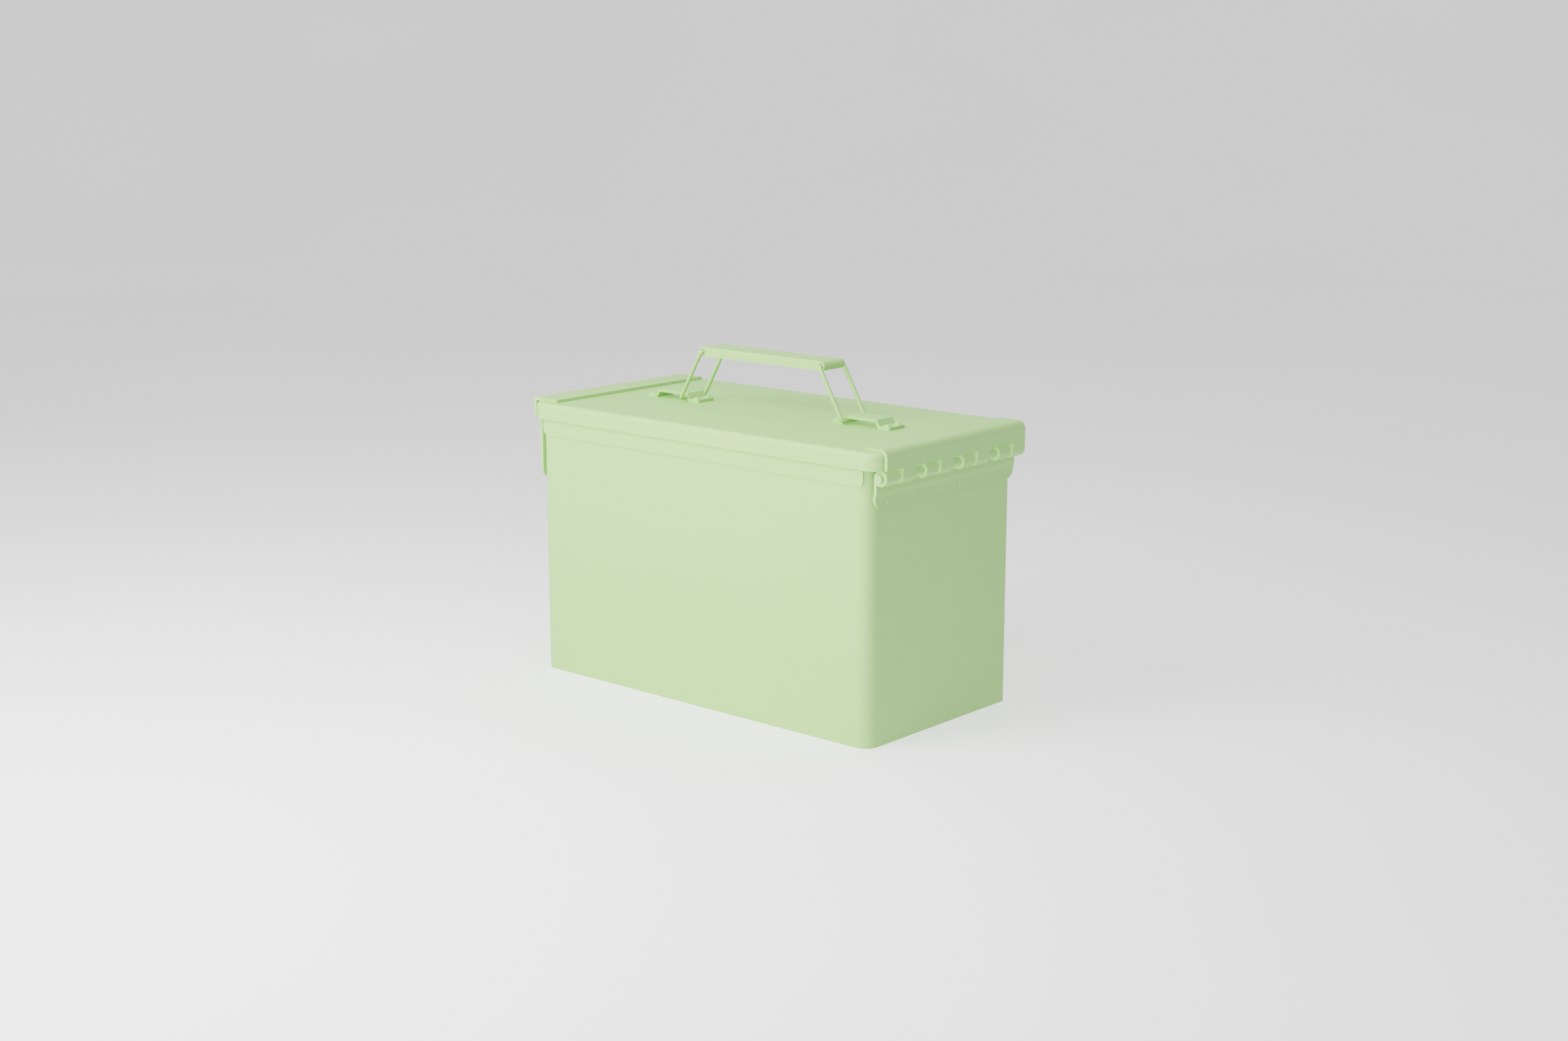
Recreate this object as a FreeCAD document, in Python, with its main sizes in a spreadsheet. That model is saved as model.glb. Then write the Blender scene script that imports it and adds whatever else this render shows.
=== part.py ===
"""A pressed-steel latching box with a hinged lid and a folding handle.

Frame: millimetres, +Z up, origin at the middle of the body's footprint on the ground.
The lid's hinge is at the +X end and the latch is at the -X end.
Every sub-part is a document object whose sizes follow the cells of the sheet "Sizes".
"""
import FreeCAD, Part
import math
import os
import Sketcher
from types import SimpleNamespace

Vector = FreeCAD.Vector

# ---------------------------------------------------------------- driving dimensions
DIMENSIONS = {
    # body
    "body_length": 282.0,
    "body_width": 144.0,
    "body_height": 177.7,
    "body_corner": 9.0,
    "wall_gauge": 1.0,
    "hem_gauge": 1.0,
    "hem_drop": 17.5,
    "hem_inset": 4.2,
    "hem_corner": 4.3,
    "end_hem_drop": 5.2,
    "end_hem_inset": 12.0,
    "pan_flange": 9.0,
    # lid
    "lid_latch_end": 146.8,
    "lid_hinge_end": 149.6,
    "lid_width": 150.4,
    "lid_top": 181.8,
    "lid_skirt": 10.8,
    "lid_corner": 11.0,
    "lid_edge_round": 3.0,
    "gasket_band": 9.0,
    "gasket_gap": 0.05,
    "gasket_rest_gap": 0.1,
    # plates welded on the two ends
    "plate_gauge": 2.0,
    # hinge
    "hinge_x": 146.6,
    "hinge_z": 166.2,
    "hinge_pin_radius": 2.65,
    "running_gap": 0.06,
    "press_gap": 0.02,
    "join_depth": 0.2,
    "knuckle_radius": 4.9,
    "knuckle_width": 10.9,
    "leaf_half": 68.8,
    "leaf_bottom": 146.7,
    "leaf_corner": 6.5,
    "leaf_bend_inside": 3.0,
    "leaf_bend_outside": 5.0,
    "leaf_jog": 0.7,
    "leaf_jog_low": 154.0,
    "leaf_jog_high": 157.0,
    "leaf_shoulder": 161.2,
    "leaf_jog_round": 6.0,
    "lid_leaf_reach": 133.8,
    "tab_radius": 4.9,
    "tab_width": 12.3,
    "tab_pitch": 36.63,
    "tab_side_gap": 2.85,
    "window_top": 171.2,
    "pin_overhang": 2.5,
    "weld_radius": 1.5,
    "weld_depth": 0.35,
    "weld_row_z": 151.1,
    "weld_pitch": 23.5,
    "top_weld_radius": 0.75,
    "top_weld_pitch": 25.5,
    "top_weld_edge": 1.2,
    # latch end
    "strap_half": 69.5,
    "strap_reach": 127.0,
    "strap_corner": 1.2,
    "strap_bend_inside": 0.3,
    "strap_bend_outside": 1.2,
    "latch_plate_half": 69.8,
    "latch_plate_top": 169.0,
    "latch_plate_bottom": 130.2,
    "latch_plate_corner": 6.0,
    "latch_pin_x": 151.2,
    "latch_pin_z": 167.2,
    "latch_pin_radius": 1.54,
    "latch_pin_overhang": 1.0,
    "latch_knuckle_radius": 3.6,
    "lid_ear_inner": 17.4,
    "lid_ear_outer": 27.0,
    "link_length": 25.7,
    "link_half": 16.0,
    "link_window_half": 11.5,
    "link_gauge": 2.0,
    "link_roll_radius": 3.4,
    "lever_half": 18.0,
    "lever_gauge": 1.6,
    "lever_inner_x": 155.0,
    "lever_top": 148.2,
    "lever_bottom": 90.0,
    "lever_flare": 9.0,
    "lever_tip_drop": 1.1,
    "lever_side_gap": 0.4,
    "tongue_half": 10.8,
    "notch_rise": 0.4,
    "ear_depth": 8.0,
    "ear_bottom": 134.5,
    "ear_end_half": 3.2,
    "nose_x": 152.4,
    "nose_z": 151.5,
    "nose_radius": 1.4,
    "nose_half": 9.0,
    "nose_arm_out": 0.9,
    "nose_arm_in": 0.4,
    "nose_arm_low": 1.2,
    "nose_arm_root": 3.0,
    "catch_half": 10.5,
    "catch_arm_low": 153.2,
    "catch_arm_gauge": 2.0,
    "catch_lip_inner": 154.4,
    "catch_lip_gauge": 1.6,
    "catch_lip_drop": 1.2,
    "catch_base_low": 147.5,
    "catch_base_high": 161.0,
    # handle brackets
    "bracket_inner": 57.0,
    "bracket_outer": 104.3,
    "bracket_half": 7.6,
    "bracket_gauge": 1.9,
    "bracket_foot_inner": 65.0,
    "bracket_foot_outer": 96.6,
    "bracket_bridge_inner": 67.1,
    "bracket_bridge_outer": 93.9,
    "slot_height": 3.95,
    "bend_round": 0.8,
    "rivet_inner_x": 60.9,
    "rivet_outer_x": 100.6,
    "rivet_spread": 5.0,
    "rivet_shank": 1.5,
    "rivet_head": 2.35,
    "rivet_head_rise": 1.5,
    "rivet_tail": 2.2,
    "rivet_tail_drop": 0.7,
    # handle loops and grip
    "loop_half": 11.5,
    "loop_bend": 2.0,
    "wire_radius": 1.35,
    "loop_top_x": 50.7,
    "loop_top_z": 216.9,
    "loop_length": 37.7,
    "loop_angle": 60.14,
    "grip_half": 10.0,
    "grip_gauge": 1.25,
    "grip_curl_inner": 1.75,
    "grip_flange_reach": 48.4,
    "grip_edge_round": 0.9,
    "grip_slit": 1.6,
}

KNUCKLES = 4
WELDS = 6
SIDES = (-1, 1)

# A cut runs this far past the metal that it opens.
OVERCUT = 1.0

# Tests on finished shapes: an edge along an axis, two levels that agree, a cut that counts.
ALONG_AXIS = 0.999
SAME_LEVEL = 0.01
LEAST_CUT = 1e-6

# How far a bracket's sloping webs lean in underneath, as a share of its gauge.
BRACKET_LEAN_LOW = 0.8
BRACKET_LEAN_HIGH = 0.6


class Size:
    """A length in millimetres, with the sheet expression that gives it."""

    def __init__(self, value, text):
        self.value = value
        self.text = text

    def join(self, sign, other, value):
        return Size(value, "(%s %s %s)" % (self.text, sign, text_of(other)))

    def __add__(self, other):
        return self.join("+", other, self.value + value_of(other))

    def __sub__(self, other):
        return self.join("-", other, self.value - value_of(other))

    def __mul__(self, other):
        return self.join("*", other, self.value * value_of(other))

    def __truediv__(self, other):
        return self.join("/", other, self.value / value_of(other))

    def __neg__(self):
        return Size(-self.value, "(0 - %s)" % self.text)

    def __rmul__(self, other):
        return self * other


def value_of(item):
    return item.value if isinstance(item, Size) else float(item)


def text_of(item):
    return item.text if isinstance(item, Size) else repr(float(item))


def make_sheet(doc):
    """Write the driving dimensions to a sheet and return them as Size objects."""
    sheet = doc.addObject("Spreadsheet::Sheet", "Sizes")
    for row, (alias, number) in enumerate(DIMENSIONS.items(), start=1):
        sheet.set("A%d" % row, alias)
        sheet.set("B%d" % row, str(number))
        sheet.setAlias("B%d" % row, alias)
    doc.recompute()
    return SimpleNamespace(**{
        alias: Size(float(sheet.get(alias)), "Sizes." + alias) for alias in DIMENSIONS
    })


# ---------------------------------------------------------------- modelling helpers
zero = Size(0.0, "0")
doc = FreeCAD.newDocument("LatchingBox")
d = make_sheet(doc)
subparts = []

PLANE_SIGN = {"XY_Plane": 1, "YZ_Plane": 1, "XZ_Plane": -1}


def bind(item, path, size):
    """Drive a property of an object with a size's expression."""
    item.setExpression(path, text_of(size))


def new_body(label):
    body = doc.addObject("PartDesign::Body", label)
    body.Label = label
    subparts.append(body)
    return body


def new_sketch(body, name, plane, offset):
    """A sketch on one of the body's own origin planes, moved along the world axis."""
    sketch = body.newObject("Sketcher::SketchObject", name)
    support = [item for item in body.Origin.OriginFeatures if item.Role == plane][0]
    sketch.AttachmentSupport = [(support, "")]
    sketch.MapMode = "FlatFace"
    sketch.AttachmentOffset = FreeCAD.Placement(Vector(0, 0, 0), FreeCAD.Rotation())
    bind(sketch, "AttachmentOffset.Base.z", PLANE_SIGN[plane] * offset)
    return sketch


def fix_point(sketch, geometry, point, place):
    """Hold a point of the sketch at a place driven by the sheet."""
    for kind, size in zip(("DistanceX", "DistanceY"), place):
        rule = Sketcher.Constraint(kind, -1, 1, geometry, point, value_of(size))
        number = sketch.addConstraint(rule)
        if isinstance(size, Size):
            bind(sketch, "Constraints[%d]" % number, size)


def draw_polygon(sketch, points):
    """A closed outline of straight lines through the points."""
    spots = [Vector(value_of(across), value_of(up), 0) for across, up in points]
    count = len(spots)
    first = sketch.GeometryCount
    for index, spot in enumerate(spots):
        sketch.addGeometry(Part.LineSegment(spot, spots[(index + 1) % count]))
    for index, place in enumerate(points):
        follower = first + (index + 1) % count
        sketch.addConstraint(Sketcher.Constraint("Coincident", first + index, 2, follower, 1))
        fix_point(sketch, first + index, 1, place)


def draw_circle(sketch, place, radius):
    centre = Vector(value_of(place[0]), value_of(place[1]), 0)
    circle = Part.Circle(centre, Vector(0, 0, 1), value_of(radius))
    number = sketch.addGeometry(circle)
    fix_point(sketch, number, 3, place)
    rule = sketch.addConstraint(Sketcher.Constraint("Radius", number, value_of(radius)))
    bind(sketch, "Constraints[%d]" % rule, radius)


def rectangle(low_across, low_up, high_across, high_up):
    """The four corners of a rectangle, anticlockwise."""
    return [(low_across, low_up), (high_across, low_up),
            (high_across, high_up), (low_across, high_up)]


class Rounded:
    """A rectangle's corners with one radius for all four."""

    def __init__(self, corners, radius):
        self.corners = corners
        self.radius = radius


def draw_rounded(sketch, outline):
    """A closed outline of lines and quarter arcs: tangent, with every centre held."""
    radius = outline.radius
    bend = value_of(radius)
    points = [Vector(value_of(across), value_of(up), 0) for across, up in outline.corners]
    count = len(points)
    first = sketch.GeometryCount
    for index, corner in enumerate(points):
        following = points[(index + 1) % count]
        ahead = (following - corner).normalize()
        behind = (points[index - 1] - corner).normalize()
        centre = corner + (ahead + behind) * bend
        middle = centre - (ahead + behind).normalize() * bend
        sketch.addGeometry(Part.Arc(corner + behind * bend, middle, corner + ahead * bend))
        sketch.addGeometry(Part.LineSegment(corner + ahead * bend, following - ahead * bend))
    for index, (across, up) in enumerate(outline.corners):
        arc = first + 2 * index
        following = first + (2 * index + 2) % (2 * count)
        sketch.addConstraint(Sketcher.Constraint("Tangent", arc, 2, arc + 1, 1))
        sketch.addConstraint(Sketcher.Constraint("Tangent", arc + 1, 2, following, 1))
        inward_across = 1 if index in (0, 3) else -1
        inward_up = 1 if index in (0, 1) else -1
        fix_point(sketch, arc, 3, (across + inward_across * radius, up + inward_up * radius))
        rule = sketch.addConstraint(Sketcher.Constraint("Radius", arc, bend))
        bind(sketch, "Constraints[%d]" % rule, radius)


def draw(sketch, outlines):
    """Draw outlines: a list of points, a pair (place, radius) or a rounded rectangle."""
    for outline in outlines:
        if isinstance(outline, Rounded):
            draw_rounded(sketch, outline)
        elif isinstance(outline, tuple):
            draw_circle(sketch, *outline)
        else:
            draw_polygon(sketch, outline)


def pad(body, name, plane, low, high, outlines):
    """Add material between two places along the plane's normal axis."""
    start = low if PLANE_SIGN[plane] > 0 else high
    sketch = new_sketch(body, name + "_sketch", plane, start)
    draw(sketch, outlines)
    feature = body.newObject("PartDesign::Pad", name)
    feature.Profile = sketch
    bind(feature, "Length", high - low)
    doc.recompute()


def pocket(body, name, plane, low, high, outlines):
    """Cut material away between two places along the plane's normal axis."""
    before = body.Shape.Volume
    start = high if PLANE_SIGN[plane] > 0 else low
    sketch = new_sketch(body, name + "_sketch", plane, start)
    draw(sketch, outlines)
    feature = body.newObject("PartDesign::Pocket", name)
    feature.Profile = sketch
    bind(feature, "Length", high - low)
    doc.recompute()
    if body.Shape.Volume > before - LEAST_CUT:
        raise RuntimeError("%s of %s cuts nothing" % (name, body.Label))


def middle_pad(body, name, plane, half, outlines):
    """Add material to the same distance each side of the plane."""
    pad(body, name, plane, -half, half, outlines)


def round_edges(body, name, radius, wanted):
    """Fillet the edges whose middle point and direction the test accepts."""
    base = body.Tip
    names = []
    for number, edge in enumerate(base.Shape.Edges, start=1):
        if not isinstance(edge.Curve, Part.Line):
            continue
        middle = edge.CenterOfMass
        along = edge.tangentAt(edge.FirstParameter)
        if wanted(middle, along):
            names.append("Edge%d" % number)
    if not names:
        raise RuntimeError("%s of %s finds no edge" % (name, body.Label))
    feature = body.newObject("PartDesign::Fillet", name)
    feature.Base = (base, names)
    bind(feature, "Radius", radius)
    doc.recompute()


def rising(first, second):
    """Two places in rising order."""
    return sorted((first, second), key=value_of)


def is_upright(along):
    return abs(along.z) > ALONG_AXIS


def is_crosswise(along):
    return abs(along.y) > ALONG_AXIS


def is_lengthwise(along):
    return abs(along.x) > ALONG_AXIS


def near(value, size):
    return abs(value - value_of(size)) < SAME_LEVEL


def edge_at(across, up):
    """A test for crosswise edges that pass through the place (across, up)."""
    def wanted(middle, along):
        return is_crosswise(along) and near(middle.x, across) and near(middle.z, up)
    return wanted


def any_of(*tests):
    return lambda middle, along: any(test(middle, along) for test in tests)


# ---------------------------------------------------------------- body
body_end = d.body_length / 2
body_side = d.body_width / 2


def body_outline(inset):
    """The body's plan, drawn in by a distance on every side."""
    across = body_end - inset
    up = body_side - inset
    return Rounded(rectangle(-across, -up, across, up), d.body_corner - inset)


def make_body_shell():
    """Four walls from one wrapped sheet, with the top edge folded outward."""
    body = new_body("body_shell")
    pad(body, "Walls", "XY_Plane", zero, d.body_height,
        [body_outline(zero), body_outline(d.wall_gauge)])
    hem_end = body_end - d.hem_inset
    hem_low = d.body_height - d.hem_drop
    side_hem = [rectangle(-hem_end, hem_low, hem_end, d.body_height)]
    pad(body, "FrontHem", "XZ_Plane", -(body_side + d.hem_gauge), -body_side, side_hem)
    pad(body, "RearHem", "XZ_Plane", body_side, body_side + d.hem_gauge, side_hem)
    round_edges(body, "HemCorners", d.hem_corner, lambda middle, along: (
        is_crosswise(along) and near(abs(middle.x), hem_end) and near(middle.z, hem_low)))
    fold_end = body_side - d.end_hem_inset
    fold_low = d.body_height - d.end_hem_drop
    end_hem = [rectangle(-fold_end, fold_low, fold_end, d.body_height)]
    pad(body, "HingeEndHem", "YZ_Plane", body_end, body_end + d.hem_gauge, end_hem)
    pad(body, "LatchEndHem", "YZ_Plane", -(body_end + d.hem_gauge), -body_end, end_hem)


def make_body_bottom():
    """Bottom pan with an upturned flange, welded inside the walls."""
    body = new_body("body_bottom")
    pad(body, "Pan", "XY_Plane", zero, d.pan_flange, [body_outline(d.wall_gauge)])
    pocket(body, "PanInside", "XY_Plane", d.wall_gauge, d.pan_flange,
           [body_outline(2 * d.wall_gauge)])


# ---------------------------------------------------------------- lid
def lid_outline(inset):
    """The lid's plan, drawn in by a distance on every side."""
    up = d.lid_width / 2 - inset
    corners = rectangle(-(d.lid_latch_end - inset), -up, d.lid_hinge_end - inset, up)
    return Rounded(corners, d.lid_corner - inset)


def round_lid_edges(body, name, radius, level):
    """Fillet every edge of the lid that lies at one level, arcs included."""
    base = body.Tip
    names = [
        "Edge%d" % number for number, edge in enumerate(base.Shape.Edges, start=1)
        if near(edge.BoundBox.ZMin, level) and near(edge.BoundBox.ZMax, level)
    ]
    feature = body.newObject("PartDesign::Fillet", name)
    feature.Base = (base, names)
    bind(feature, "Radius", radius)
    doc.recompute()


def rivet_places(side):
    """Where one bracket's rivets stand: two in each foot."""
    return [
        (side * along, lateral * d.rivet_spread)
        for along in (d.rivet_inner_x, d.rivet_outer_x) for lateral in (-1, 1)
    ]


def make_lid_shell():
    """Pressed lid: flat top, rounded edge and a shallow skirt."""
    body = new_body("lid_shell")
    low = d.lid_top - d.lid_skirt
    under = d.lid_top - d.wall_gauge
    pad(body, "Block", "XY_Plane", low, d.lid_top, [lid_outline(zero)])
    round_lid_edges(body, "TopEdge", d.lid_edge_round, d.lid_top)
    pocket(body, "Hollow", "XY_Plane", low, under, [lid_outline(d.wall_gauge)])
    round_lid_edges(body, "InnerEdge", d.lid_edge_round - d.wall_gauge, under)
    pocket(body, "RivetHoles", "XY_Plane", under - OVERCUT, d.lid_top + OVERCUT,
           [(place, d.rivet_shank) for side in SIDES for place in rivet_places(side)])


def make_lid_gasket():
    """Rubber ring in the lid, wide enough to cover the whole rim of the walls."""
    body = new_body("lid_gasket")
    low = d.body_height + d.gasket_rest_gap
    high = d.lid_top - d.wall_gauge
    pad(body, "Band", "XY_Plane", low, high, [lid_outline(d.lid_edge_round + d.gasket_gap)])
    across = body_end - d.gasket_band
    up = body_side - d.gasket_band
    pocket(body, "Opening", "XY_Plane", low, high, [rectangle(-across, -up, across, up)])


# ---------------------------------------------------------------- hinge
hinge_axis = (d.hinge_x, d.hinge_z)
leaf_plane = body_end + d.leaf_jog


def tab_start(index):
    """Where a lid tab begins along Y; the last one ends flush with the leaf."""
    return d.leaf_half - d.tab_width - d.tab_pitch * (KNUCKLES - 1 - index)


def knuckle_span(index):
    """Where a body knuckle lies along Y: against the next lid tab."""
    high = tab_start(index) - d.tab_side_gap
    if index == 0:
        return -d.leaf_half, high
    return high - d.knuckle_width, high


def centred_row(count, pitch):
    """Evenly spaced distances, centred on zero."""
    return [pitch * (index - (count - 1) / 2) for index in range(count)]


def cut_bore(body, name, half, axis, radius):
    """Bore along Y right through a piece of this half-width."""
    past = half + OVERCUT
    pocket(body, name, "XZ_Plane", -past, past, [(axis, radius)])


def make_hinge_leaf_body():
    """Leaf welded on the end wall, curled outward into knuckles round the pin."""
    body = new_body("hinge_leaf_body")
    face = body_end + d.plate_gauge
    raised_face = leaf_plane + d.plate_gauge
    profile = [
        (body_end, d.leaf_bottom), (face, d.leaf_bottom), (face, d.leaf_jog_low),
        (raised_face, d.leaf_jog_high), (raised_face, d.hinge_z), (leaf_plane, d.hinge_z),
        (leaf_plane, d.leaf_jog_high), (body_end, d.leaf_jog_low),
    ]
    middle_pad(body, "Leaf", "XZ_Plane", d.leaf_half, [profile])
    round_edges(body, "JogBends", d.leaf_jog_round, any_of(
        edge_at(face, d.leaf_jog_low), edge_at(body_end, d.leaf_jog_low),
        edge_at(raised_face, d.leaf_jog_high), edge_at(leaf_plane, d.leaf_jog_high)))
    middle_pad(body, "Roll", "XZ_Plane", d.leaf_half, [(hinge_axis, d.knuckle_radius)])
    cut_bore(body, "PinBore", d.leaf_half, hinge_axis, d.hinge_pin_radius + d.press_gap)
    top = d.hinge_z + d.knuckle_radius + OVERCUT
    past_roll = d.hinge_x + d.knuckle_radius + OVERCUT
    spans = [knuckle_span(index) for index in range(KNUCKLES)]
    window_starts = [high for low, high in spans]
    window_ends = [low for low, high in spans[1:]] + [d.leaf_half + OVERCUT]
    pocket(body, "Windows", "YZ_Plane", body_end, past_roll,
           [rectangle(start, d.leaf_shoulder, end, top)
            for start, end in zip(window_starts, window_ends)])
    round_edges(body, "LowerCorners", d.leaf_corner, lambda middle, along: (
        is_lengthwise(along) and near(abs(middle.y), d.leaf_half)
        and near(middle.z, d.leaf_bottom)))
    pocket(body, "WeldDimples", "YZ_Plane", face - d.weld_depth, face + OVERCUT,
           [((place, d.weld_row_z), d.weld_radius) for place in centred_row(WELDS, d.weld_pitch)])


def add_bent_plate(body, name, half, reach, end, low, bend):
    """A plate over the lid's top that turns down its end to the level low.

    The bend is a pair of radii, inside and outside.
    """
    side = 1 if value_of(end) > 0 else -1
    outer = end + side * d.plate_gauge
    top = d.lid_top + d.plate_gauge
    profile = [
        (side * reach, d.lid_top), (end, d.lid_top), (end, low),
        (outer, low), (outer, top), (side * reach, top),
    ]
    middle_pad(body, name, "XZ_Plane", half, [profile])
    round_edges(body, "OuterBend", bend[1], edge_at(outer, top))
    round_edges(body, "InnerBend", bend[0], edge_at(end, d.lid_top))
    weld_row = side * (reach + d.top_weld_edge)
    pocket(body, "WeldDimples", "XY_Plane", top - d.weld_depth, top + OVERCUT,
           [((weld_row, place), d.top_weld_radius)
            for place in centred_row(WELDS, d.top_weld_pitch)])
    return outer


def make_hinge_leaf_lid():
    """Bent leaf over the lid's hinge end, with tabs curled inward round the pin."""
    body = new_body("hinge_leaf_lid")
    inner = d.lid_hinge_end
    bend = (d.leaf_bend_inside, d.leaf_bend_outside)
    outer = add_bent_plate(body, "Leaf", d.leaf_half, d.lid_leaf_reach, inner, d.hinge_z, bend)
    curl_x = outer - d.tab_radius
    middle_pad(body, "Curl", "XZ_Plane", d.leaf_half, [((curl_x, d.hinge_z), d.tab_radius)])
    middle_pad(body, "CurlRoot", "XZ_Plane", d.leaf_half,
               [rectangle(curl_x, d.hinge_z, inner + d.join_depth, d.lid_top - d.lid_skirt)])
    cut_bore(body, "PinBore", d.leaf_half, hinge_axis, d.hinge_pin_radius + d.running_gap)
    low = d.hinge_z - d.tab_radius - OVERCUT
    starts = [tab_start(index) for index in range(KNUCKLES)]
    befores = [-(d.leaf_half + OVERCUT)] + [start + d.tab_width for start in starts[:-1]]
    pocket(body, "Windows", "YZ_Plane", body_end, outer + OVERCUT,
           [rectangle(before, low, start, d.window_top) for before, start in zip(befores, starts)])


def make_cross_pin(label, axis, radius, half):
    """A round pin along Y, centred on the axis."""
    pin = doc.addObject("Part::Cylinder", label)
    pin.Label = label
    bind(pin, "Radius", radius)
    bind(pin, "Height", 2 * half)
    pin.Placement = FreeCAD.Placement(Vector(0, 0, 0), FreeCAD.Rotation(Vector(1, 0, 0), 90))
    bind(pin, "Placement.Base.x", axis[0])
    bind(pin, "Placement.Base.y", half)
    bind(pin, "Placement.Base.z", axis[1])
    subparts.append(pin)


# ---------------------------------------------------------------- latch end
latch_axis = (-d.latch_pin_x, d.latch_pin_z)
link_axis = (-d.latch_pin_x, d.latch_pin_z - d.link_length)


def make_latch_plate_lid():
    """Bent strap over the lid's latch end, with two curled ears for the latch pin."""
    body = new_body("latch_plate_lid")
    inner = -d.lid_latch_end
    low = d.lid_top - d.lid_skirt
    bend = (d.strap_bend_inside, d.strap_bend_outside)
    outer = add_bent_plate(body, "Strap", d.strap_half, d.strap_reach, inner, low, bend)
    round_edges(body, "LowerCorners", d.strap_corner, lambda middle, along: (
        is_lengthwise(along) and near(abs(middle.y), d.strap_half) and near(middle.z, low)))
    for side, name in zip(SIDES, ("Front", "Rear")):
        start, end = rising(side * d.lid_ear_inner, side * d.lid_ear_outer)
        pad(body, name + "Ear", "XZ_Plane", start, end,
            [rectangle(outer, d.latch_pin_z, inner, low + d.join_depth)])
        pad(body, name + "Curl", "XZ_Plane", start, end, [(latch_axis, d.latch_knuckle_radius)])
        pocket(body, name + "Bore", "XZ_Plane", start, end,
               [(latch_axis, d.latch_pin_radius + d.press_gap)])


def make_latch_plate_body():
    """Plate welded on the body's latch end; the catch stands on it."""
    body = new_body("latch_plate_body")
    outer = body_end + d.plate_gauge
    pad(body, "Plate", "YZ_Plane", -outer, -body_end,
        [rectangle(-d.latch_plate_half, d.latch_plate_bottom, d.latch_plate_half, d.latch_plate_top)])
    round_edges(body, "LowerCorners", d.latch_plate_corner, lambda middle, along: (
        is_lengthwise(along) and near(middle.z, d.latch_plate_bottom)))
    row = d.latch_plate_bottom + d.weld_row_z - d.leaf_bottom
    pocket(body, "WeldDimples", "YZ_Plane", -(outer + OVERCUT), -(outer - d.weld_depth),
           [((place, row), d.weld_radius) for place in centred_row(WELDS, d.weld_pitch)])


def make_latch_catch():
    """Hook whose turned-down lip holds the lever's nose."""
    body = new_body("latch_catch")
    face = body_end + d.plate_gauge
    root = face + d.catch_arm_gauge
    arm_high = d.catch_arm_low + d.catch_arm_gauge
    lip_low = d.catch_arm_low - d.catch_lip_drop
    lip_outer = d.catch_lip_inner + d.catch_lip_gauge
    profile = [
        (-face, d.catch_base_low), (-face, d.catch_base_high), (-root, d.catch_base_high),
        (-root, arm_high), (-lip_outer, arm_high), (-lip_outer, lip_low),
        (-d.catch_lip_inner, lip_low), (-d.catch_lip_inner, d.catch_arm_low),
        (-root, d.catch_arm_low), (-root, d.catch_base_low),
    ]
    middle_pad(body, "Hook", "XZ_Plane", d.catch_half, [profile])
    round_edges(body, "Fold", d.bend_round, edge_at(-lip_outer, arm_high))


def make_latch_link():
    """Open frame that hangs from the lid and carries the lever."""
    body = new_body("latch_link")
    thin = d.link_gauge / 2
    middle_pad(body, "Frame", "XZ_Plane", d.link_half,
               [rectangle(-(d.latch_pin_x + thin), link_axis[1],
                          -(d.latch_pin_x - thin), latch_axis[1])])
    middle_pad(body, "TopRoll", "XZ_Plane", d.link_half, [(latch_axis, d.latch_knuckle_radius)])
    middle_pad(body, "BottomRoll", "XZ_Plane", d.link_half, [(link_axis, d.link_roll_radius)])
    cut_bore(body, "TopBore", d.link_half, latch_axis, d.latch_pin_radius + d.running_gap)
    cut_bore(body, "BottomBore", d.link_half, link_axis, d.latch_pin_radius + d.press_gap)
    pocket(body, "Window", "YZ_Plane", -(d.latch_pin_x + d.link_gauge),
           -(d.latch_pin_x - d.link_gauge),
           [rectangle(-d.link_window_half, link_axis[1] + d.link_roll_radius,
                      d.link_window_half, latch_axis[1] - d.latch_knuckle_radius)])


def make_latch_lever():
    """Lever with a flared finger pull, an ear each side and a nose on a tongue."""
    body = new_body("latch_lever")
    inner = -d.lever_inner_x
    outer = inner - d.lever_gauge
    root = inner - d.join_depth
    flare_top = d.lever_bottom + d.lever_flare
    tip = outer - d.lever_flare
    skin = [
        (inner, d.lever_top), (outer, d.lever_top), (outer, flare_top), (tip, d.lever_bottom),
        (tip + d.lever_gauge, d.lever_bottom - d.lever_tip_drop),
        (inner, flare_top - d.lever_tip_drop),
    ]
    middle_pad(body, "Skin", "XZ_Plane", d.lever_half, [skin])
    ear = [
        (root, d.lever_top), (root, d.ear_bottom),
        (inner + d.ear_depth, link_axis[1] - d.ear_end_half),
        (inner + d.ear_depth, link_axis[1] + d.ear_end_half),
    ]
    middle_pad(body, "Ears", "XZ_Plane", d.lever_half, [ear])
    gap = d.link_half + d.lever_side_gap
    past_ear = inner + d.ear_depth + OVERCUT
    past_top = d.lever_top + OVERCUT
    pocket(body, "EarGap", "YZ_Plane", inner, past_ear,
           [rectangle(-gap, d.ear_bottom - OVERCUT, gap, past_top)])
    notch_low = link_axis[1] + d.notch_rise
    pocket(body, "RailNotches", "YZ_Plane", outer - OVERCUT, past_ear,
           [rectangle(-gap, notch_low, -d.tongue_half, past_top),
            rectangle(d.tongue_half, notch_low, gap, past_top)])
    cut_bore(body, "PinHoles", d.lever_half, link_axis, d.latch_pin_radius + d.running_gap)
    arm = [
        (-d.nose_x, d.nose_z), (-(d.nose_x + d.nose_arm_out), d.nose_z - d.nose_arm_low),
        (root, d.lever_top - d.join_depth), (root, d.lever_top - d.nose_arm_root),
        (-(d.nose_x - d.nose_arm_in), d.nose_z - d.nose_arm_low),
    ]
    middle_pad(body, "NoseArm", "XZ_Plane", d.nose_half, [arm])
    middle_pad(body, "Nose", "XZ_Plane", d.nose_half, [((-d.nose_x, d.nose_z), d.nose_radius)])


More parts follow.
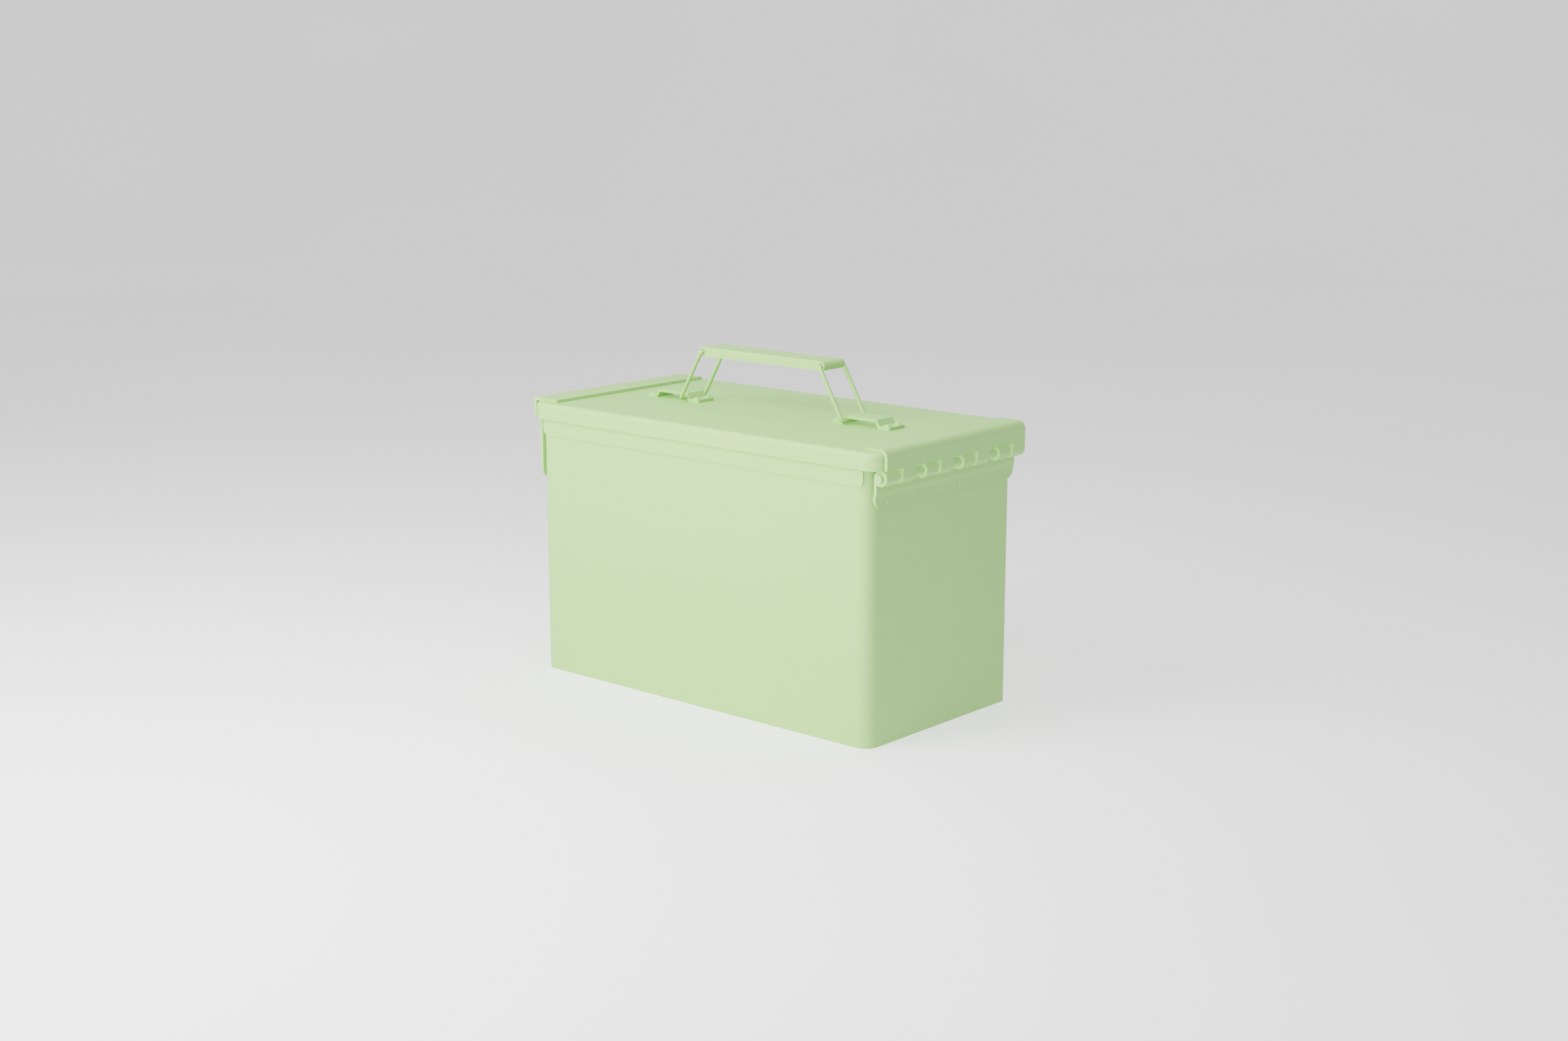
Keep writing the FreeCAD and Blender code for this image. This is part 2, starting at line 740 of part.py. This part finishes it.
# ---------------------------------------------------------------- handle
def make_bracket(label, side):
    """Hat-shaped strap with a foot at each end; a wire loop runs under its bridge."""
    body = new_body(label)
    low = d.lid_top
    gauge = d.bracket_gauge
    foot = low + gauge
    under = low + d.slot_height
    bridge = under + gauge
    lean_low = gauge * BRACKET_LEAN_LOW
    lean_high = gauge * BRACKET_LEAN_HIGH
    outline = [
        (d.bracket_inner, low), (d.bracket_foot_inner + lean_low, low),
        (d.bracket_bridge_inner + lean_high, under), (d.bracket_bridge_outer - lean_high, under),
        (d.bracket_foot_outer - lean_low, low), (d.bracket_outer, low), (d.bracket_outer, foot),
        (d.bracket_foot_outer, foot), (d.bracket_bridge_outer, bridge),
        (d.bracket_bridge_inner, bridge), (d.bracket_foot_inner, foot), (d.bracket_inner, foot),
    ]
    middle_pad(body, "Strap", "XZ_Plane", d.bracket_half,
               [[(side * across, up) for across, up in outline]])
    ends = (value_of(d.bracket_inner), value_of(d.bracket_outer))
    bends = [(across, up) for across, up in outline if value_of(across) not in ends]
    round_edges(body, "Bends", d.bend_round,
                any_of(*[edge_at(side * across, up) for across, up in bends]))
    round_edges(body, "FootCorners", d.bend_round, lambda middle, along: (
        is_upright(along) and near(abs(middle.y), d.bracket_half)
        and any(near(abs(middle.x), end) for end in ends)))
    pocket(body, "RivetHoles", "XY_Plane", low - OVERCUT, foot + OVERCUT,
           [(place, d.rivet_shank) for place in rivet_places(side)])


def make_rivets(label, side):
    """Four domed rivets through one bracket's feet and the lid, as one node."""
    top = value_of(d.lid_top + d.bracket_gauge)
    under = value_of(d.lid_top - d.wall_gauge)
    head, rise = value_of(d.rivet_head), value_of(d.rivet_head_rise)
    tail, drop = value_of(d.rivet_tail), value_of(d.rivet_tail_drop)
    shank = value_of(d.rivet_shank)
    dome_radius = (head ** 2 + rise ** 2) / (2 * rise)
    dome_centre = top + rise - dome_radius
    corners = [
        Vector(0, 0, under - drop), Vector(tail, 0, under - drop), Vector(tail, 0, under),
        Vector(shank, 0, under), Vector(shank, 0, top), Vector(head, 0, top),
    ]
    crown = Vector(0, 0, top + rise)
    on_dome = Vector(head / 2, 0, dome_centre + math.sqrt(dome_radius ** 2 - head ** 2 / 4))
    edges = [Part.LineSegment(start, end).toShape() for start, end in zip(corners, corners[1:])]
    edges.append(Part.Arc(corners[-1], on_dome, crown).toShape())
    edges.append(Part.LineSegment(crown, corners[0]).toShape())
    rivet = Part.Face(Part.Wire(edges)).revolve(Vector(0, 0, 0), Vector(0, 0, 1), 360)
    group = doc.addObject("Part::Feature", label)
    group.Label = label
    group.Shape = Part.makeCompound([
        rivet.translated(Vector(value_of(across), value_of(up), 0))
        for across, up in rivet_places(side)
    ])
    subparts.append(group)


def make_loop(label, side):
    """Closed wire loop: a rounded rectangle of round wire, tilted outward and down."""
    body = new_body(label)
    length, half = d.loop_length, d.loop_half
    path = new_sketch(body, "Path", "XY_Plane", zero)
    draw_rounded(path, Rounded(rectangle(zero, -half, length, half), d.loop_bend))
    section = new_sketch(body, "Section", "XZ_Plane", zero)
    draw_circle(section, (zero, zero), d.wire_radius)
    pipe = body.newObject("PartDesign::AdditivePipe", "Wire")
    pipe.Profile = section
    pipe.Spine = (path, ["Edge%d" % number for number in range(1, path.GeometryCount + 1)])
    doc.recompute()
    tilt = value_of(d.loop_angle)
    turn = FreeCAD.Rotation(Vector(0, 1, 0), tilt if side > 0 else 180 - tilt)
    body.Placement = FreeCAD.Placement(Vector(0, 0, 0), turn)
    bind(body, "Placement.Base.x", side * d.loop_top_x)
    bind(body, "Placement.Base.z", d.loop_top_z)


def make_grip():
    """Sheet grip: flat top, two down-turned flanges, both ends curled round a loop."""
    body = new_body("handle_grip")
    curl = d.grip_curl_inner + d.grip_gauge
    top = d.loop_top_z + curl
    under = top - d.grip_gauge
    low = d.loop_top_z - curl
    reach = d.grip_flange_reach
    flange = d.grip_half - d.grip_gauge
    pad(body, "Channel", "YZ_Plane", -reach, reach, [rectangle(-d.grip_half, low, d.grip_half, top)])
    round_edges(body, "TopEdges", d.grip_edge_round, lambda middle, along: (
        is_lengthwise(along) and near(middle.z, top)))
    pocket(body, "Underside", "YZ_Plane", -reach, reach,
           [rectangle(-flange, low - OVERCUT, flange, under)])
    slit_inner = d.loop_top_x - curl - OVERCUT
    slit_outer = d.loop_top_x - d.grip_curl_inner + d.join_depth
    for side, name in zip(SIDES, ("Left", "Right")):
        axis = (side * d.loop_top_x, d.loop_top_z)
        start, end = rising(side * (reach - d.join_depth), axis[0])
        middle_pad(body, name + "Top", "XZ_Plane", d.grip_half, [rectangle(start, under, end, top)])
        middle_pad(body, name + "Curl", "XZ_Plane", d.grip_half, [(axis, curl)])
        cut_bore(body, name + "Bore", d.grip_half, axis, d.grip_curl_inner)
        start, end = rising(side * slit_inner, side * slit_outer)
        pocket(body, name + "Slit", "XZ_Plane", -flange, flange,
               [rectangle(start, d.loop_top_z - d.grip_slit, end, d.loop_top_z)])


# ---------------------------------------------------------------- build and export
def check_document():
    for item in doc.Objects:
        if "Invalid" in item.State or "Error" in item.State:
            raise RuntimeError("%s did not recompute: %s" % (item.Name, item.State))
    for item in subparts:
        if item.Shape.isNull() or not item.Shape.isValid():
            raise RuntimeError("%s has no valid shape" % item.Label)


def export_parts():
    os.makedirs("parts", exist_ok=True)
    for item in subparts:
        item.Shape.exportStep(os.path.join("parts", item.Label + ".step"))
        print("%-22s %9.1f mm3" % (item.Label, item.Shape.Volume))


make_body_shell()
make_body_bottom()
make_lid_shell()
make_lid_gasket()
make_hinge_leaf_body()
make_hinge_leaf_lid()
make_cross_pin("hinge_pin", hinge_axis, d.hinge_pin_radius, d.leaf_half + d.pin_overhang)
make_latch_plate_lid()
make_latch_plate_body()
make_latch_catch()
make_latch_link()
make_latch_lever()
make_cross_pin("latch_pin", latch_axis, d.latch_pin_radius, d.lid_ear_outer + d.latch_pin_overhang)
make_cross_pin("latch_link_pin", link_axis, d.latch_pin_radius, d.lever_half + d.latch_pin_overhang)
for bracket_side, side_name in zip(SIDES, ("left", "right")):
    make_bracket("handle_bracket_" + side_name, bracket_side)
    make_rivets("bracket_rivets_" + side_name, bracket_side)
    make_loop("handle_loop_" + side_name, bracket_side)
make_grip()
doc.recompute()
check_document()
export_parts()
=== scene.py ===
"""Looks for the pressed-steel latching box: paint, rubber, studio, light and camera.

Units are metres in the part's own frame: +Z up, the hinge at +X, the long side that the
camera sees at -Y. Every shape is the CAD part's own; this script gives it its surfaces.
"""
import math

import bpy
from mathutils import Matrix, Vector

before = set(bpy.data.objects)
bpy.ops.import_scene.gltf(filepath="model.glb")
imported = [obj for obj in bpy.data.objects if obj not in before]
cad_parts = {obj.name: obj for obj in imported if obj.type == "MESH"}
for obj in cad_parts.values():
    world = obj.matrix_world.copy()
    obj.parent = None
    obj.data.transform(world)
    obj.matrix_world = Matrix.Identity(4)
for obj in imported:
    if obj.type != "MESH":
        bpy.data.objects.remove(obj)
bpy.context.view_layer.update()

# The camera stands round from the long side towards the hinge, and a little above.
CAMERA_AIM = Vector((0.0065, 0.0055, 0.1095))
CAMERA_AZIMUTH = math.radians(41.3)
CAMERA_ELEVATION = math.radians(12.2)
CAMERA_DISTANCE = 1.472
CAMERA_LENS = 51.8
CAMERA_SENSOR = 36.0

# Two soft lamps close to the long side, one that casts no shadow and one that gives the box
# its faint one, and even light from the room all round.
LAMP_AIM = Vector((0.0, 0.0, 0.10))
KEY_PLACE = Vector((0.04, -0.66, 0.70))
KEY_SIZE = 0.50
KEY_POWER = 9.6
SIDE_PLACE = Vector((-0.30, -0.80, 0.80))
SIDE_SIZE = 0.70
SIDE_POWER = 9.4
AIR_LEVEL = 0.74
VIEW_TRANSFORM = "Filmic"

# The sheet of paper under and behind the box, in the camera's direction.
SWEEP_HALF_WIDTH = 9.0
SWEEP_FRONT = -5.0
SWEEP_BACK = 2.6
SWEEP_BEND = 1.6
SWEEP_HEIGHT = 4.0
SWEEP_STEPS = 24

# Linear colours.
PAINT_COLOUR = (0.350, 0.570, 0.210)
# A lighter green for the outer edges: partly worn paint, partly a painted highlight.
PAINT_WORN_AND_HIGHLIGHT = (0.430, 0.650, 0.290)
PAINT_GRIME = (0.290, 0.480, 0.170)
RUBBER_COLOUR = (0.020, 0.020, 0.021)
RUBBER_BLOOM = (0.060, 0.060, 0.058)
# Two shades of the paper, and the little light that it gives off itself.
PAPER_COLOUR = (0.90, 0.90, 0.90)
PAPER_TONE = (0.87, 0.87, 0.87)
PAPER_GLOW = 0.20
WHITE = (1, 1, 1, 1)

# A noise is its cells per metre, detail and roughness; a range is where it takes hold.
SEED_SHIFT = (1.0, 0.7, 0.3)
MOTTLE_NOISE = (14, 3, 0.55)
MOTTLE_RANGE = (0.35, 0.70)
MOTTLE_MOST = 0.05
PATCH_NOISE = (120, 6, 0.7)
PATCH_RANGE = (0.40, 0.62)
POINTED_RANGE = (0.54, 0.62)
SHEEN_NOISE = (60, 4, 0.6)
PAINT_ROUGHNESS = (0.50, 0.62)
PAINT_SPECULAR = 0.35
PEEL_SCALE = 900
PEEL_DETAIL = 2
PEEL_HEIGHT = 0.00004
PEEL_STRENGTH = 0.30
PRESS_NOISE = (9, 2, 0.5)
PRESS_HEIGHT = 0.0012
PRESS_STRENGTH = 0.10
WIDE_RANGE = (0.3, 0.7)

BLOOM_NOISE = (80, 5, 0.65)
BLOOM_RANGE = (0.45, 0.75)
BLOOM_MOST = 0.5
RUBBER_NOISE = (200, 3)
RUBBER_ROUGHNESS = (0.72, 0.9)
RUBBER_SPECULAR = 0.25
GRAIN_NOISE = (2500, 2)
GRAIN_HEIGHT = 0.00005
GRAIN_STRENGTH = 0.4

PAPER_NOISE = (1.5, 2)
PAPER_ROUGHNESS = 0.9
PAPER_SPECULAR = 0.1

# The places of the two colours and of the result among the mix node's sockets.
MIX_FIRST = 6
MIX_SECOND = 7
MIX_RESULT = 2

EDGE_WIDTH = 0.00022
EDGE_SEGMENTS = 2
EDGE_ANGLE = math.radians(32)
WELD_DISTANCE = 1e-6
# The lid's top is cut by rivet holes, and a bevel would fold the thin faces that reach them.
UNBEVELLED = ("lid_shell",)


# ---------------------------------------------------------------- node helpers
class Tree:
    """Short words for building one material's nodes."""

    def __init__(self, name):
        self.material = bpy.data.materials.new(name)
        self.material.use_nodes = True
        self.nodes = self.material.node_tree.nodes
        self.links = self.material.node_tree.links
        self.shader = self.nodes["Principled BSDF"]
        coordinates = self.nodes.new("ShaderNodeTexCoord")
        self.place = coordinates.outputs["Object"]

    def join(self, source, node, socket):
        """Link an output to a node's named or numbered input."""
        self.links.new(source, node.inputs[socket])

    def noise(self, scale, detail, roughness=0.5, offset=(0, 0, 0)):
        """Noise about zero to one over the object, scale in cells per metre."""
        mapping = self.nodes.new("ShaderNodeMapping")
        mapping.inputs["Location"].default_value = offset
        self.join(self.place, mapping, "Vector")
        node = self.nodes.new("ShaderNodeTexNoise")
        node.inputs["Scale"].default_value = scale
        node.inputs["Detail"].default_value = detail
        node.inputs["Roughness"].default_value = roughness
        self.join(mapping.outputs["Vector"], node, "Vector")
        return node.outputs["Fac"]

    def spread(self, source, low, high, to_low=0.0, to_high=1.0):
        """A value's range from low to high, carried to another range and clamped."""
        node = self.nodes.new("ShaderNodeMapRange")
        node.interpolation_type = "SMOOTHSTEP"
        values = {"From Min": low, "From Max": high, "To Min": to_low, "To Max": to_high}
        for socket, value in values.items():
            node.inputs[socket].default_value = value
        self.join(source, node, "Value")
        return node.outputs["Result"]

    def times(self, first, second):
        """The product of two values."""
        node = self.nodes.new("ShaderNodeMath")
        node.operation = "MULTIPLY"
        self.join(first, node, 0)
        self.join(second, node, 1)
        return node.outputs["Value"]

    def blend(self, share, first, second):
        """A colour between two, each a socket or a colour."""
        node = self.nodes.new("ShaderNodeMix")
        node.data_type = "RGBA"
        self.join(share, node, "Factor")
        for value, number in ((first, MIX_FIRST), (second, MIX_SECOND)):
            if isinstance(value, tuple):
                node.inputs[number].default_value = (*value, 1)
            else:
                self.join(value, node, number)
        return node.outputs[MIX_RESULT]

    def raised(self, height, distance, strength, under=None):
        """A bump from a height, over another bump where one is given."""
        node = self.nodes.new("ShaderNodeBump")
        node.inputs["Distance"].default_value = distance
        node.inputs["Strength"].default_value = strength
        self.join(height, node, "Height")
        if under is not None:
            self.join(under, node, "Normal")
        return node.outputs["Normal"]

    def pointed(self, low, high):
        """Zero on flat and hollow surfaces, rising to one along outer edges."""
        geometry = self.nodes.new("ShaderNodeNewGeometry")
        return self.spread(geometry.outputs["Pointiness"], low, high)


# ---------------------------------------------------------------- materials
def paint(name, seed, edge_wear_and_highlight, grain):
    """Matt sprayed paint: faint mottling, lighter outer edges that are partly worn paint and
    partly a painted highlight, and a fine orange peel.
    """
    tree = Tree(name)
    offset = tuple(seed * share for share in SEED_SHIFT)
    mottle = tree.spread(tree.noise(*MOTTLE_NOISE, offset), *MOTTLE_RANGE, 0.0, MOTTLE_MOST)
    base = tree.blend(mottle, PAINT_COLOUR, PAINT_GRIME)
    patches = tree.spread(tree.noise(*PATCH_NOISE, offset), *PATCH_RANGE)
    edges = tree.times(tree.pointed(*POINTED_RANGE), patches)
    # The edge mask lightens the paint along outer edges: partly wear, partly a painted highlight.
    wear_and_highlight = tree.spread(edges, 0.0, 1.0, 0.0, edge_wear_and_highlight)
    tree.join(tree.blend(wear_and_highlight, base, PAINT_WORN_AND_HIGHLIGHT), tree.shader, "Base Color")
    roughness = tree.spread(tree.noise(*SHEEN_NOISE, offset), *WIDE_RANGE, *PAINT_ROUGHNESS)
    tree.join(roughness, tree.shader, "Roughness")
    fine = tree.noise(PEEL_SCALE * grain, PEEL_DETAIL, offset=offset)
    peel = tree.raised(fine, PEEL_HEIGHT, PEEL_STRENGTH)
    press = tree.raised(tree.noise(*PRESS_NOISE, offset), PRESS_HEIGHT, PRESS_STRENGTH, under=peel)
    tree.join(press, tree.shader, "Normal")
    tree.shader.inputs["Specular IOR Level"].default_value = PAINT_SPECULAR
    return tree.material


def rubber(name):
    """Matt black seal: fine moulding grain and a dusty bloom."""
    tree = Tree(name)
    bloom = tree.spread(tree.noise(*BLOOM_NOISE), *BLOOM_RANGE, 0.0, BLOOM_MOST)
    tree.join(tree.blend(bloom, RUBBER_COLOUR, RUBBER_BLOOM), tree.shader, "Base Color")
    roughness = tree.spread(tree.noise(*RUBBER_NOISE), *WIDE_RANGE, *RUBBER_ROUGHNESS)
    tree.join(roughness, tree.shader, "Roughness")
    grain = tree.raised(tree.noise(*GRAIN_NOISE), GRAIN_HEIGHT, GRAIN_STRENGTH)
    tree.join(grain, tree.shader, "Normal")
    tree.shader.inputs["Specular IOR Level"].default_value = RUBBER_SPECULAR
    return tree.material


# The seed, the lightening along the edges (partly wear, partly a painted highlight) and the
# fineness of the peel for each group of pieces.
PAINTS = {
    "paint_body": (1.0, 0.12, 1.0),
    "paint_lid": (4.0, 0.18, 1.0),
    "paint_plates": (7.0, 0.12, 1.1),
    "paint_latch": (11.0, 0.30, 1.2),
    "paint_handle": (15.0, 0.25, 1.3),
}

# The pieces that aren't named here are the handle's.
PAINT_OF = {
    "body_shell": "paint_body", "body_bottom": "paint_body", "lid_shell": "paint_lid",
    "hinge_leaf_body": "paint_plates", "hinge_leaf_lid": "paint_plates",
    "latch_plate_body": "paint_plates", "latch_plate_lid": "paint_plates",
    "hinge_pin": "paint_plates", "latch_catch": "paint_latch", "latch_link": "paint_latch",
    "latch_lever": "paint_latch", "latch_pin": "paint_latch", "latch_link_pin": "paint_latch",
}


def dress(nodes):
    """Give each CAD node its material, softened edges and smooth shading."""
    materials = {name: paint(name, *values) for name, values in PAINTS.items()}
    materials["rubber_seal"] = rubber("rubber_seal")
    for name, piece in nodes.items():
        wanted = "rubber_seal" if name == "lid_gasket" else PAINT_OF.get(name, "paint_handle")
        piece.data.materials.clear()
        piece.data.materials.append(materials[wanted])
        soften(piece, bevelled=name not in UNBEVELLED)


def soften(piece, bevelled):
    """Join the mesh's split points, round its hard edges a little and smooth the rest."""
    weld = piece.modifiers.new("Joined", "WELD")
    weld.merge_threshold = WELD_DISTANCE
    if bevelled:
        bevel = piece.modifiers.new("Edges", "BEVEL")
        bevel.width = EDGE_WIDTH
        bevel.segments = EDGE_SEGMENTS
        bevel.limit_method = "ANGLE"
        bevel.angle_limit = EDGE_ANGLE
    normals = piece.modifiers.new("Shading", "WEIGHTED_NORMAL")
    normals.keep_sharp = True


# ---------------------------------------------------------------- studio
def camera_direction():
    """The way from the aim to the camera."""
    level = math.cos(CAMERA_ELEVATION)
    return Vector((
        level * math.sin(CAMERA_AZIMUTH), -level * math.cos(CAMERA_AZIMUTH),
        math.sin(CAMERA_ELEVATION),
    ))


def make_stage():
    """A plain floor that sweeps up into a wall behind, in one curved sheet."""
    profile = [(SWEEP_FRONT, 0.0), (SWEEP_BACK, 0.0)]
    for step in range(1, SWEEP_STEPS + 1):
        turn = step / SWEEP_STEPS * math.pi / 2
        profile.append((
            SWEEP_BACK + SWEEP_BEND * math.sin(turn), SWEEP_BEND * (1 - math.cos(turn)),
        ))
    profile.append((SWEEP_BACK + SWEEP_BEND, SWEEP_HEIGHT))
    away = -camera_direction().to_2d().normalized()
    across = Vector((-away.y, away.x))
    points = [
        (*(away * along + across * side), up)
        for along, up in profile
        for side in (-SWEEP_HALF_WIDTH, SWEEP_HALF_WIDTH)
    ]
    faces = [(2 * row, 2 * row + 1, 2 * row + 3, 2 * row + 2) for row in range(len(profile) - 1)]
    mesh = bpy.data.meshes.new("studio_sweep")
    mesh.from_pydata(points, [], faces)
    mesh.polygons.foreach_set("use_smooth", [True] * len(faces))
    tree = Tree("studio_paper")
    tone = tree.spread(tree.noise(*PAPER_NOISE), *WIDE_RANGE)
    tree.join(tree.blend(tone, PAPER_COLOUR, PAPER_TONE), tree.shader, "Base Color")
    tree.shader.inputs["Roughness"].default_value = PAPER_ROUGHNESS
    tree.shader.inputs["Specular IOR Level"].default_value = PAPER_SPECULAR
    tree.shader.inputs["Emission Color"].default_value = WHITE
    tree.shader.inputs["Emission Strength"].default_value = PAPER_GLOW
    mesh.materials.append(tree.material)
    sweep = bpy.data.objects.new("studio_sweep", mesh)
    bpy.context.scene.collection.objects.link(sweep)


def aim(item, place, target):
    """Put a lamp or camera at a place and turn it to face a target."""
    item.location = place
    item.rotation_euler = (target - place).to_track_quat("-Z", "Y").to_euler()


def make_lamp(name, place, size, power, shadow):
    """A round soft lamp, which shines on the scene but isn't seen itself."""
    light = bpy.data.lights.new(name, "AREA")
    light.shape = "DISK"
    light.size = size
    light.energy = power
    light.use_shadow = shadow
    lamp = bpy.data.objects.new(name, light)
    lamp.visible_camera = False
    bpy.context.scene.collection.objects.link(lamp)
    aim(lamp, place, LAMP_AIM)


def make_air():
    """Even light from every side."""
    world = bpy.data.worlds.new("studio_air")
    world.use_nodes = True
    background = world.node_tree.nodes["Background"]
    background.inputs["Color"].default_value = WHITE
    background.inputs["Strength"].default_value = AIR_LEVEL
    bpy.context.scene.world = world


def make_camera():
    """The camera of the main picture."""
    data = bpy.data.cameras.new("camera")
    data.sensor_width = CAMERA_SENSOR
    data.lens = CAMERA_LENS
    data.dof.use_dof = False
    camera = bpy.data.objects.new("camera", data)
    bpy.context.scene.collection.objects.link(camera)
    aim(camera, CAMERA_AIM + CAMERA_DISTANCE * camera_direction(), CAMERA_AIM)
    bpy.context.scene.camera = camera


# ---------------------------------------------------------------- scene
bpy.context.scene.view_settings.view_transform = VIEW_TRANSFORM
make_camera()
make_stage()
make_lamp("key", KEY_PLACE, KEY_SIZE, KEY_POWER, shadow=False)
make_lamp("side", SIDE_PLACE, SIDE_SIZE, SIDE_POWER, shadow=True)
make_air()
dress(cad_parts)
